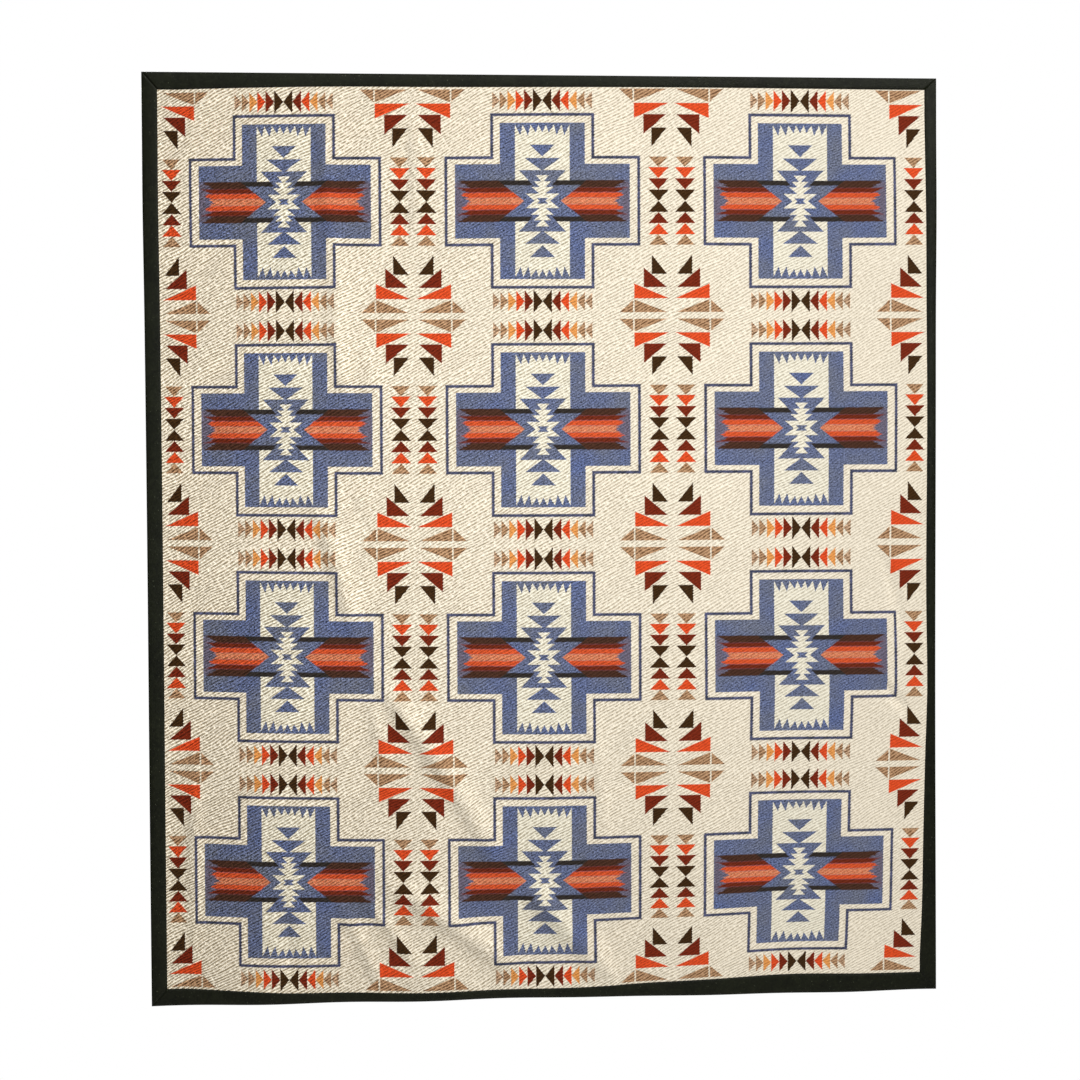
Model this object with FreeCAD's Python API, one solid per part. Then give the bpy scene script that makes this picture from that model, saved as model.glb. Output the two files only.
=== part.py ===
import FreeCAD, Part
import math
import os

# A quilt hung from a wall rack. Millimetres, +Z up. The quilt's face looks along -Y and the wall is at +Y.
# The origin is the middle of the wall board's back face, which lies on the wall.

# Quilt: a 60 by 70 inch throw, bound with a strip that wraps its edges.
QUILT_WIDTH = 1524.0
QUILT_HEIGHT = 1778.0
TOP_CLOTH = 1.2
BATTING = 4.0
BACKING = 0.8
BINDING_CLOTH = 0.8
BINDING_FACE = 31.0
QUILT_ABOVE_RAIL = 52.0  # from the rail's axis up to the quilt's top edge

# Rail: a wooden dowel with a turned cap on each end.
RAIL_RADIUS = 14.0
RAIL_LENGTH = 1420.0
RAIL_FROM_WALL = 60.0
CAP_RADIUS = 18.0
CAP_LENGTH = 12.0
CAP_ROUND = 7.0
CAP_CHAMFER = 1.0
SPIGOT_RADIUS = 4.0
SPIGOT_LENGTH = 24.0

# Rod sleeve: a cloth tube sewn flat to the backing, slack round the rail.
SLEEVE_LENGTH = 1300.0
SLEEVE_CLOTH = 1.0
SLEEVE_SLACK = 0.3  # between the rail and the cloth that hangs on it
SLEEVE_LEAVES_RAIL = -25.0  # degrees below level where the back of the sleeve leaves the rail

# Wall board: two pairs of wall screws, one pair to each of two studs.
BOARD_LENGTH = 1380.0
BOARD_HEIGHT = 70.0
BOARD_THICKNESS = 18.0
BOARD_EDGE_ROUND = 3.0
WALL_HOLES_X = 812.8  # two bays of studs at 16 inch centres
WALL_HOLES_Z = 40.0
WALL_HOLE_RADIUS = 2.75
COUNTERSINK_RADIUS = 5.5
COUNTERSINK_DEPTH = 3.0

# Brackets: a plate, an arm with a rib under it, and a cradle that is open at the top.
BRACKET_X = 675.0
PLATE_WIDTH = 34.0
PLATE_HEIGHT = 64.0
PLATE_THICKNESS = 4.0
PLATE_CORNER = 6.0
CRADLE_WIDTH = 16.0
CRADLE_WALL = 4.0
LINER = 1.0
CRADLE_GAP = 0.3  # between the rail and the liner
CRADLE_RISE = 4.0  # how far the cradle's cheeks stand above the rail's axis
ARM_HEIGHT = 12.0
RIB_WIDTH = 6.0
RIB_DEPTH = 12.0
RIB_SHORT = 2.0  # how far behind the cradle's inside the rib runs out

# Bracket screws: one above the arm, and one each side of the rib.
SCREW_PLACES = ((0.0, 22.0), (-11.0, -24.0), (11.0, -24.0))
SCREW_RADIUS = 1.9
SCREW_DEPTH = 14.0
SCREW_HEAD_RADIUS = 3.8
SCREW_HEAD_HEIGHT = 2.4
SCREW_HEAD_ROUND = 1.44
SCREW_SLOT = 1.0
SCREW_SLOT_DEPTH = 1.2

# Set screws: they come up through the bottom of each cradle and touch the rail.
SET_SCREW_RADIUS = 2.5
SET_SCREW_FIT = 0.05
SET_SCREW_TIP_GAP = 0.3
SET_SCREW_SHANK = 13.0
KNOB_RADIUS = 7.0
KNOB_HEIGHT = 8.0
KNOB_CHAMFER = 0.8
KNOB_GROOVES = 14
KNOB_GROOVE_RADIUS = 0.9

# Worked out from the sizes above, and the small amounts that cuts and comparisons need.
CUT_PAST = 1.0
SAME = 1e-6
LINER_RADIUS = RAIL_RADIUS + CRADLE_GAP
CRADLE_INNER = LINER_RADIUS + LINER
CRADLE_OUTER = CRADLE_INNER + CRADLE_WALL
QUILT_BACK = 20.0  # from the rail's axis forward to the back of the quilt
LAYERS = TOP_CLOTH + BATTING + BACKING
RAIL_Y = -RAIL_FROM_WALL
BACK_Y = RAIL_Y - QUILT_BACK
PLATE_FRONT = -BOARD_THICKNESS - PLATE_THICKNESS
TOP_Z = QUILT_ABOVE_RAIL
BOTTOM_Z = TOP_Z - QUILT_HEIGHT
SIDES = {"left": -1, "right": 1}


def vector(x, y, z):
    return FreeCAD.Vector(x, y, z)


def box(x, y, z):
    """A box from its (low, high) span along each axis."""
    corner = vector(x[0], y[0], z[0])
    return Part.makeBox(x[1] - x[0], y[1] - y[0], z[1] - z[0], corner)


def along_x(radius, x):
    """A cylinder along X about the rail's axis, over the span x."""
    start = vector(x[0], RAIL_Y, 0)
    return Part.makeCylinder(radius, x[1] - x[0], start, vector(1, 0, 0))


def prism(points, direction):
    """A straight prism on a polygon."""
    outline = Part.makePolygon(points + points[:1])
    return Part.Face(outline).extrude(direction)


# Quilt

def layer(front_depth, thickness):
    """One flat layer of the quilt, front_depth behind the front of the top cloth."""
    inset = BINDING_CLOTH
    front = BACK_Y - LAYERS + front_depth
    half = QUILT_WIDTH / 2 - inset
    return box((-half, half), (front, front + thickness), (BOTTOM_Z + inset, TOP_Z - inset))


def binding(side):
    """A strip that wraps one edge, front to back, mitred at both ends."""
    half, deep = QUILT_WIDTH / 2, BINDING_FACE
    front, back = BACK_Y - LAYERS - BINDING_CLOTH, BACK_Y + BINDING_CLOTH
    outer = [(-half, BOTTOM_Z), (half, BOTTOM_Z), (half, TOP_Z), (-half, TOP_Z)]
    inner = [
        (-half + deep, BOTTOM_Z + deep),
        (half - deep, BOTTOM_Z + deep),
        (half - deep, TOP_Z - deep),
        (-half + deep, TOP_Z - deep),
    ]
    first = ("bottom", "right", "top", "left").index(side)
    last = (first + 1) % 4
    corners = [outer[first], outer[last], inner[last], inner[first]]
    strip = prism([vector(x, front, z) for x, z in corners], vector(0, back - front, 0))
    return strip.cut(layer(0, LAYERS))


def sleeve_wire(radius, front):
    """The sleeve's section: level over the rail, round its back, and down in a straight slope to the seam."""
    turn = math.radians(SLEEVE_LEAVES_RAIL)
    leave_y, leave_z = radius * math.cos(turn), radius * math.sin(turn)
    run = (front - leave_y) / math.sin(turn)
    x = -SLEEVE_LENGTH / 2
    top = vector(x, RAIL_Y, radius)
    leave = vector(x, RAIL_Y + leave_y, leave_z)
    seam = vector(x, RAIL_Y + front, leave_z - run * math.cos(turn))
    shoulder = vector(x, RAIL_Y + front, radius)
    halfway = (math.pi / 2 + turn) / 2
    over = vector(x, RAIL_Y + radius * math.cos(halfway), radius * math.sin(halfway))
    edges = [
        Part.makeLine(shoulder, top),
        Part.Arc(top, over, leave).toShape(),
        Part.makeLine(leave, seam),
        Part.makeLine(seam, shoulder),
    ]
    return Part.Wire(edges)


def rod_sleeve():
    inside = RAIL_RADIUS + SLEEVE_SLACK
    outer = Part.Face(sleeve_wire(inside + SLEEVE_CLOTH, -QUILT_BACK))
    inner = Part.Face(sleeve_wire(inside, -QUILT_BACK + SLEEVE_CLOTH))
    return outer.cut(inner).extrude(vector(SLEEVE_LENGTH, 0, 0))


# Rail

def rail():
    half = RAIL_LENGTH / 2
    bar = along_x(RAIL_RADIUS, (-half, half))
    for end in SIDES.values():
        inner = end * (half - SPIGOT_LENGTH)
        bar = bar.cut(along_x(SPIGOT_RADIUS, (min(inner, end * half), max(inner, end * half))))
    return bar


def rail_end_cap(end):
    """A turned cap: a disc against the rail, rounded at its outer edge, and a spigot in the rail's hole."""
    inner = RAIL_LENGTH / 2
    outer = inner + CAP_LENGTH
    disc = along_x(CAP_RADIUS, (inner, outer))
    rims = [e for e in disc.Edges if e.BoundBox.XLength < SAME]
    outer_rim = [e for e in rims if abs(e.BoundBox.XMin - outer) < SAME]
    inner_rim = [e for e in rims if abs(e.BoundBox.XMin - inner) < SAME]
    disc = disc.makeFillet(CAP_ROUND, outer_rim).makeChamfer(CAP_CHAMFER, inner_rim)
    cap = disc.fuse(along_x(SPIGOT_RADIUS, (inner - SPIGOT_LENGTH, inner)))
    if end < 0:
        cap = cap.mirror(vector(0, 0, 0), vector(1, 0, 0))
    return cap


# Rack

def screw_axes(end):
    """Where one bracket's screws stand, as (x, z)."""
    return [(end * BRACKET_X + x, z) for x, z in SCREW_PLACES]


def wall_board():
    half, tall = BOARD_LENGTH / 2, BOARD_HEIGHT / 2
    board = box((-half, half), (-BOARD_THICKNESS, 0), (-tall, tall))
    front_edges = [e for e in board.Edges if all(abs(v.Y + BOARD_THICKNESS) < SAME for v in e.Vertexes)]
    board = board.makeFillet(BOARD_EDGE_ROUND, front_edges)
    back = vector(0, -1, 0)
    for x in (-WALL_HOLES_X / 2, WALL_HOLES_X / 2):
        for z in (-WALL_HOLES_Z / 2, WALL_HOLES_Z / 2):
            hole = Part.makeCylinder(WALL_HOLE_RADIUS, BOARD_THICKNESS, vector(x, 0, z), back)
            start = vector(x, COUNTERSINK_DEPTH - BOARD_THICKNESS, z)
            sink = Part.makeCone(WALL_HOLE_RADIUS, COUNTERSINK_RADIUS, COUNTERSINK_DEPTH, start, back)
            board = board.cut(hole).cut(sink)
    for end in SIDES.values():
        for x, z in screw_axes(end):
            start = vector(x, SCREW_DEPTH - BOARD_THICKNESS, z)
            board = board.cut(Part.makeCylinder(SCREW_RADIUS, SCREW_DEPTH, start, back))
    return board


def cradle_span(centre):
    return (centre - CRADLE_WIDTH / 2, centre + CRADLE_WIDTH / 2)


def cradle_ring(inner, outer, centre):
    """The lower part of a ring round the rail, open at the top."""
    span = cradle_span(centre)
    ring = along_x(outer, span).cut(along_x(inner, span))
    return ring.common(box(span, (RAIL_Y - outer, RAIL_Y + outer), (-outer, CRADLE_RISE)))


def set_screw_hole(centre):
    low = -CRADLE_OUTER - CUT_PAST
    return Part.makeCylinder(SET_SCREW_RADIUS + SET_SCREW_FIT, CRADLE_OUTER, vector(centre, RAIL_Y, low))


def bracket(end):
    centre = end * BRACKET_X
    front = PLATE_FRONT
    wide, tall = PLATE_WIDTH / 2, PLATE_HEIGHT / 2
    plate = box((centre - wide, centre + wide), (front, -BOARD_THICKNESS), (-tall, tall))
    corners = [e for e in plate.Edges if abs(e.Vertexes[0].Y - e.Vertexes[1].Y) > SAME]
    plate = plate.makeFillet(PLATE_CORNER, corners)
    span = cradle_span(centre)
    arm_start = RAIL_Y + CRADLE_INNER
    arm_low = CRADLE_RISE - ARM_HEIGHT
    arm = box(span, (arm_start, front), (arm_low, CRADLE_RISE))
    rib_side = centre - RIB_WIDTH / 2
    rib = prism(
        [
            vector(rib_side, front, arm_low),
            vector(rib_side, arm_start + RIB_SHORT, arm_low),
            vector(rib_side, front, arm_low - RIB_DEPTH),
        ],
        vector(RIB_WIDTH, 0, 0),
    )
    whole = plate.fuse(arm).fuse(rib).fuse(cradle_ring(CRADLE_INNER, CRADLE_OUTER, centre))
    whole = whole.cut(along_x(CRADLE_INNER, span)).cut(set_screw_hole(centre))
    for x, z in screw_axes(end):
        start = vector(x, front, z)
        whole = whole.cut(Part.makeCylinder(SCREW_RADIUS, PLATE_THICKNESS, start, vector(0, 1, 0)))
    return whole.removeSplitter()


def cradle_liner(end):
    centre = end * BRACKET_X
    return cradle_ring(LINER_RADIUS, CRADLE_INNER, centre).cut(set_screw_hole(centre))


def bracket_screws(end):
    """Round-headed, slotted screws, through the plate and into the board."""
    front = PLATE_FRONT
    head_front = front - SCREW_HEAD_HEIGHT
    screws = []
    for x, z in screw_axes(end):
        shank_length = PLATE_THICKNESS + SCREW_DEPTH
        shank = Part.makeCylinder(SCREW_RADIUS, shank_length, vector(x, front, z), vector(0, 1, 0))
        head = Part.makeCylinder(SCREW_HEAD_RADIUS, SCREW_HEAD_HEIGHT, vector(x, front, z), vector(0, -1, 0))
        rim = [e for e in head.Edges if abs(e.BoundBox.YMax - head_front) < SAME]
        head = head.makeFillet(SCREW_HEAD_ROUND, rim)
        slot = box(
            (x - SCREW_HEAD_RADIUS, x + SCREW_HEAD_RADIUS),
            (head_front, head_front + SCREW_SLOT_DEPTH),
            (z - SCREW_SLOT / 2, z + SCREW_SLOT / 2),
        )
        screws.append(shank.fuse(head).cut(slot).removeSplitter())
    return Part.makeCompound(screws)


def set_screw(end):
    """A thumb screw with a grooved knob, pointing up."""
    centre = end * BRACKET_X
    tip = -RAIL_RADIUS - SET_SCREW_TIP_GAP
    low = tip - SET_SCREW_SHANK
    shank = Part.makeCylinder(SET_SCREW_RADIUS, SET_SCREW_SHANK, vector(centre, RAIL_Y, low))
    knob = Part.makeCylinder(KNOB_RADIUS, KNOB_HEIGHT, vector(centre, RAIL_Y, low - KNOB_HEIGHT))
    knob = knob.makeChamfer(KNOB_CHAMFER, [e for e in knob.Edges if e.BoundBox.ZLength < SAME])
    for step in range(KNOB_GROOVES):
        turn = 2 * math.pi * step / KNOB_GROOVES
        x = centre + KNOB_RADIUS * math.cos(turn)
        y = RAIL_Y + KNOB_RADIUS * math.sin(turn)
        start = vector(x, y, low - KNOB_HEIGHT)
        knob = knob.cut(Part.makeCylinder(KNOB_GROOVE_RADIUS, KNOB_HEIGHT, start))
    return knob.fuse(shank).removeSplitter()


def build():
    nodes = {
        "quilt_top": layer(0, TOP_CLOTH),
        "quilt_batting": layer(TOP_CLOTH, BATTING),
        "quilt_backing": layer(TOP_CLOTH + BATTING, BACKING),
        "rod_sleeve": rod_sleeve(),
        "rail": rail(),
        "wall_board": wall_board(),
    }
    for side in ("top", "bottom", "left", "right"):
        nodes["binding_" + side] = binding(side)
    for name, end in SIDES.items():
        nodes["rail_end_cap_" + name] = rail_end_cap(end)
        nodes["bracket_" + name] = bracket(end)
        nodes["cradle_liner_" + name] = cradle_liner(end)
        nodes["bracket_screws_" + name] = bracket_screws(end)
        nodes["set_screw_" + name] = set_screw(end)
    return nodes


os.makedirs("parts", exist_ok=True)
for node, shape in build().items():
    shape.exportStep("parts/" + node + ".step")
    print(node, "solids", len(shape.Solids), "valid", shape.isValid(), "mm3", round(shape.Volume))
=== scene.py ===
"""A woven quilt with a bound edge, hung by the sleeve on its back from a wooden wall rack.

Everything is in metres, in the model's own frame: the wall is the plane y = 0, the rail runs along x,
and the face of the quilt looks along -y.
"""

import math

import bmesh
import bpy
import numpy as np
from mathutils import Matrix, Vector


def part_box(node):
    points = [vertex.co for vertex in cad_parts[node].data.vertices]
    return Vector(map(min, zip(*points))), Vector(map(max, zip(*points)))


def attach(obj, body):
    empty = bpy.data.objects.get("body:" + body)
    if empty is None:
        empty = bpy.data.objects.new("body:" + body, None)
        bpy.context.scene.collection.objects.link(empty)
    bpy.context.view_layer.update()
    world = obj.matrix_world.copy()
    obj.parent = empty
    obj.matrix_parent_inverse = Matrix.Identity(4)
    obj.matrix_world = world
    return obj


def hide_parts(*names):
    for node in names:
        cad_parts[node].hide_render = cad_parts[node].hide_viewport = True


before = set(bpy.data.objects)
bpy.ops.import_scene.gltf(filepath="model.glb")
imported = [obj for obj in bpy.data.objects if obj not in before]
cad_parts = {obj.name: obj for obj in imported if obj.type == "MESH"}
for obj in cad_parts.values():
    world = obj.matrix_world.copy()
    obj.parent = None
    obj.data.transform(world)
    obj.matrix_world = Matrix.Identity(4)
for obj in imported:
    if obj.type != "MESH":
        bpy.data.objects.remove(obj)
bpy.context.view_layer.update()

MM = 0.001

# -------- the quilt's edges and layers

EDGE_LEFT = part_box("binding_left")[0][0]
EDGE_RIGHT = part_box("binding_right")[1][0]
EDGE_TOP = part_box("binding_top")[1][2]
EDGE_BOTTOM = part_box("binding_bottom")[0][2]
WIDTH = EDGE_RIGHT - EDGE_LEFT
HEIGHT = EDGE_TOP - EDGE_BOTTOM

BINDING_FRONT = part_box("binding_top")[0][1]
BINDING_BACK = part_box("binding_top")[1][1]
FACE_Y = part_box("quilt_top")[0][1]
BATTING_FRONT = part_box("quilt_batting")[0][1]
BATTING_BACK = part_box("quilt_batting")[1][1]
BACKING_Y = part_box("quilt_backing")[1][1]

ROLL = (BINDING_BACK - BINDING_FRONT) / 2      # radius of the rolled outer edge
BINDING_CLOTH = 0.8 * MM
BACK_LEG = 31 * MM                             # width of the binding on the back
LAYER_INSET = 4 * MM                           # how far the layers stop short of the rolled edge

# -------- the woven design's real sizes

CELL_WIDE, CELL_TALL = 493.2, 434.1            # one medallion's repeat, in mm
HALF_WIDE, HALF_TALL = CELL_WIDE / 2, CELL_TALL / 2
FIRST_ROW, LAST_ROW = 0.2424, 1.5447           # depth of the outer rows' centres below the top edge
COLUMNS, ROWS = 3, 4
OUTLINE_REACH = 182.0                          # from a medallion's centre to its outline, across, in mm
# Where the three medallions' outlines stand, left and right, on the hanging cloth (x). The looser
# right-hand side has spread a little, and the left has drawn in.
OUTLINES_AT = ((-0.673, -0.316), (-0.190, 0.180), (0.308, 0.680))
# How far (mm) the hanging design has risen (or, below 0, sagged) off the straight grain, at four places
# across and nine depths below the top edge.
SAG_DEPTHS = (0.08, 0.25, 0.40, 0.60, 0.85, 1.10, 1.28, 1.50, 1.70)
SAG = {
    -0.70: (-0.5, -5.0, -4.5, 0.0, 1.5, 5.0, 6.5, 10.0, -2.0),
    -0.37: (0.5, -1.2, -1.0, 0.0, -3.0, -2.5, -3.0, -1.5, -2.0),
    0.00: (3.3, 2.0, 0.0, 1.0, -4.5, -6.5, -9.0, -5.8, -3.8),
    0.50: (4.3, 4.3, 2.0, 2.0, -4.0, -7.0, -7.0, 3.0, -0.5),
}
LEAN = -0.002                                  # the design slants this much sideways for each metre down


def through(points, at):
    """A smooth curve through a few (position, value) points, level past both ends."""
    xs, ys = (np.array(column, float) for column in zip(*points))
    slopes = np.gradient(ys, xs)
    at = np.clip(np.asarray(at, float), xs[0], xs[-1])
    i = np.clip(np.searchsorted(xs, at) - 1, 0, len(xs) - 2)
    step = xs[i + 1] - xs[i]
    t = (at - xs[i]) / step
    return (
        (2 * t**3 - 3 * t**2 + 1) * ys[i]
        + (t**3 - 2 * t**2 + t) * step * slopes[i]
        + (3 * t**2 - 2 * t**3) * ys[i + 1]
        + (t**3 - t**2) * step * slopes[i + 1]
    )


# How much of the binding shows on the face, in mm: it is sewn by hand and pulled in unevenly. Each place is
# an x along the top and the bottom, and a depth below the top edge along the right.
SHOWN_TOP = ((-0.70, 34), (-0.55, 29), (-0.42, 26), (-0.21, 25), (0.20, 22), (0.70, 23))
SHOWN_BOTTOM = (
    (-0.70, 33), (-0.57, 26), (-0.50, 22), (-0.36, 19), (-0.22, 17), (-0.08, 18), (0.06, 20),
    (0.20, 27), (0.34, 33), (0.48, 38), (0.69, 35),
)
SHOWN_RIGHT = (
    (0.07, 24), (0.38, 20), (0.62, 18), (1.00, 19), (1.20, 17), (1.32, 21), (1.47, 25), (1.63, 29),
    (1.71, 33),
)
SHOWN_LEFT = 30.0
USUAL_RIGHT = 20 * MM                          # the binding's usual width on the right


# These four give the shown width, in metres, for points (x, z) beside that edge.
def shown_top(x, z):
    return through(SHOWN_TOP, x) * MM


def shown_bottom(x, z):
    return through(SHOWN_BOTTOM, x) * MM


def shown_right(x, z):
    return through(SHOWN_RIGHT, EDGE_TOP - np.asarray(z)) * MM


def shown_left(x, z):
    return np.full_like(np.asarray(z, float), SHOWN_LEFT * MM)


# -------- folds


def smooth(low, high, value):
    t = np.clip((value - low) / (high - low), 0, 1)
    return t * t * (3 - 2 * t)


def fold(x, z, start, end, half_width, height, bow=0.0):
    """A soft ridge (or, with a height below 0, a crease) from start to end that dies away at both ends."""
    run = np.subtract(end, start)
    length = np.hypot(*run)
    along = ((x - start[0]) * run[0] + (z - start[1]) * run[1]) / length**2
    across = ((x - start[0]) * run[1] - (z - start[1]) * run[0]) / length
    across = across + bow * np.sin(math.pi * np.clip(along, 0, 1))
    ends = smooth(-0.15, 0.3, along) * smooth(1.15, 0.7, along)
    return height * ends * np.exp(-((across / half_width) ** 2))


FOLDS = (
    # start (x, z), end (x, z), half width, height, bow
    ((-0.265, -0.02), (-0.268, -0.28), 0.008, -0.0024, 0.002),
    ((-0.250, -0.02), (-0.240, -0.30), 0.018, 0.0040, 0.004),
    ((-0.450, -0.03), (-0.438, -0.15), 0.010, -0.0028, 0.000),
    ((-0.425, -0.06), (-0.395, -0.55), 0.017, 0.0066, 0.006),
    ((-0.404, -0.43), (-0.380, -0.58), 0.011, 0.0055, 0.000),
    ((-0.350, -0.45), (-0.325, -0.60), 0.018, 0.0040, 0.004),
    ((-0.389, -0.73), (-0.350, -0.82), 0.009, -0.0030, 0.000),
    ((-0.440, -0.76), (-0.368, -1.02), 0.018, 0.0105, 0.004),
    ((0.211, -0.37), (0.208, -0.78), 0.008, -0.0026, 0.002),
    ((0.208, -0.76), (0.197, -0.96), 0.010, -0.0034, 0.000),
    ((-0.676, -1.27), (-0.682, -1.62), 0.013, 0.0052, 0.002),
    ((-0.330, -1.10), (-0.095, -1.46), 0.021, 0.0122, 0.010),
    ((-0.345, -1.13), (-0.310, -1.29), 0.014, 0.0052, 0.003),
    ((0.082, -1.17), (0.112, -1.42), 0.012, 0.0036, 0.003),
    ((-0.515, -1.52), (-0.492, -1.66), 0.013, -0.0042, 0.000),
    ((-0.405, -1.53), (-0.322, -1.70), 0.012, 0.0066, 0.003),
    ((-0.350, -1.53), (-0.255, -1.66), 0.012, 0.0060, 0.003),
    ((-0.300, -1.50), (-0.065, -1.67), 0.024, 0.0140, 0.006),
    ((-0.050, -1.50), (0.115, -1.69), 0.021, 0.0100, 0.004),
    ((0.085, -1.60), (0.128, -1.70), 0.011, 0.0048, 0.000),
    ((0.655, -0.87), (0.700, -1.04), 0.010, -0.0042, 0.003),
    ((0.655, -1.12), (0.706, -1.18), 0.009, -0.0052, 0.000),
)

# The broad waves of the hanging cloth: height, radians a metre along x and along z, and phase.
WAVES = (
    (0.0026, 9.0, 1.1, 0.4),
    (0.0020, 17.0, -1.7, 2.1),
    (0.0014, -3.0, 5.0, 0.0),
)
FLARE = 0.0026           # height of the flutes near the lower edge, which also stands forward a little
HANGS_BACK = 0.0060      # below the rack the quilt's weight draws it back under the rail


def relief(x, z):
    """How far the hanging quilt stands forward of its flat place. Every layer of the quilt shares it."""
    x, z = np.asarray(x, float), np.asarray(z, float)
    below_rail = smooth(-0.03, -0.25, z)
    low = smooth(-0.6, EDGE_BOTTOM, z)
    waves = sum(height * np.sin(wide * x + tall * z + phase) for height, wide, tall, phase in WAVES)
    flare = FLARE * low * np.sin(22.0 * x + 0.8) + 0.002 * low**2
    total = below_rail * (waves + flare) - HANGS_BACK * smooth(-0.14, -0.45, z)
    for start, end, half_width, height, bow in FOLDS:
        total = total + fold(x, z, start, end, half_width, height, bow) * smooth(-0.02, -0.06, z)
    return total


# -------- mesh helpers


def add_object(name, points, faces, material, smooth_shading=True):
    mesh = bpy.data.meshes.new(name)
    vertices = [tuple(point) for point in np.asarray(points, float).reshape(-1, 3)]
    mesh.from_pydata(vertices, [], [tuple(map(int, face)) for face in faces])
    mesh.validate()
    mesh.update()
    mesh.materials.append(material)
    if smooth_shading:
        mesh.polygons.foreach_set("use_smooth", np.ones(len(mesh.polygons), bool))
    thing = bpy.data.objects.new(name, mesh)
    bpy.context.scene.collection.objects.link(thing)
    return thing


def grid_faces(rows, columns, wrap=False):
    """Quads between the points of a rows x columns grid; wrap joins the last column to the first."""
    i, j = np.meshgrid(np.arange(rows - 1), np.arange(columns if wrap else columns - 1), indexing="ij")
    here, beside = i * columns + j, i * columns + (j + 1) % columns
    return np.stack([here, beside, beside + columns, here + columns], -1).reshape(-1, 4)


def facing_out(thing):
    """Turns a closed mesh's faces so that they all look outwards."""
    work = bmesh.new()
    work.from_mesh(thing.data)
    bmesh.ops.recalc_face_normals(work, faces=work.faces)
    work.to_mesh(thing.data)
    work.free()
    return thing


# -------- material helpers


def linear(red, green, blue):
    """A colour given as it is seen on a screen (0 to 255), as the shader's linear colour."""
    values = (c / 255 for c in (red, green, blue))
    return tuple(c / 12.92 if c <= 0.04045 else ((c + 0.055) / 1.055) ** 2.4 for c in values) + (1.0,)


class Field:
    """A number that changes over a surface: a socket with Python's arithmetic, drawn as Math nodes."""

    def __init__(self, tree, socket):
        self.tree, self.socket = tree, socket

    def __add__(self, other):
        return calc("ADD", self, other)

    __radd__ = __add__

    def __mul__(self, other):
        return calc("MULTIPLY", self, other)

    __rmul__ = __mul__

    def __sub__(self, other):
        return calc("SUBTRACT", self, other)

    def __rsub__(self, other):
        return calc("SUBTRACT", other, self)

    def __truediv__(self, other):
        return calc("DIVIDE", self, other)

    def __abs__(self):
        return calc("ABSOLUTE", self)


def feed(tree, value, slot):
    """Links a field or a socket to an input, or sets the input's own number or colour."""
    if isinstance(value, Field):
        value = value.socket
    if isinstance(value, bpy.types.NodeSocket):
        tree.links.new(value, slot)
    else:
        slot.default_value = value


def calc(operation, *values, clamp=False):
    tree = next(v.tree for v in values if isinstance(v, Field))
    node = tree.nodes.new("ShaderNodeMath")
    node.operation, node.use_clamp = operation, clamp
    for slot, value in zip(node.inputs, values):
        feed(tree, value, slot)
    return Field(tree, node.outputs[0])


def least(first, *others):
    for other in others:
        first = calc("MINIMUM", first, other)
    return first


def most(first, *others):
    for other in others:
        first = calc("MAXIMUM", first, other)
    return first


def fraction(value):
    return calc("FRACT", value)


def whole(value):
    return calc("FLOOR", value)


def sine(value):
    return calc("SINE", value)


def inside(distance, soft=1.0):
    """1 where a distance to an outline is positive, 0 where it is negative, with a soft step between."""
    return calc("MULTIPLY_ADD", distance, 1 / soft, 0.5, clamp=True)


def clamped(value):
    return calc("ADD", value, 0.0, clamp=True)


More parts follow.
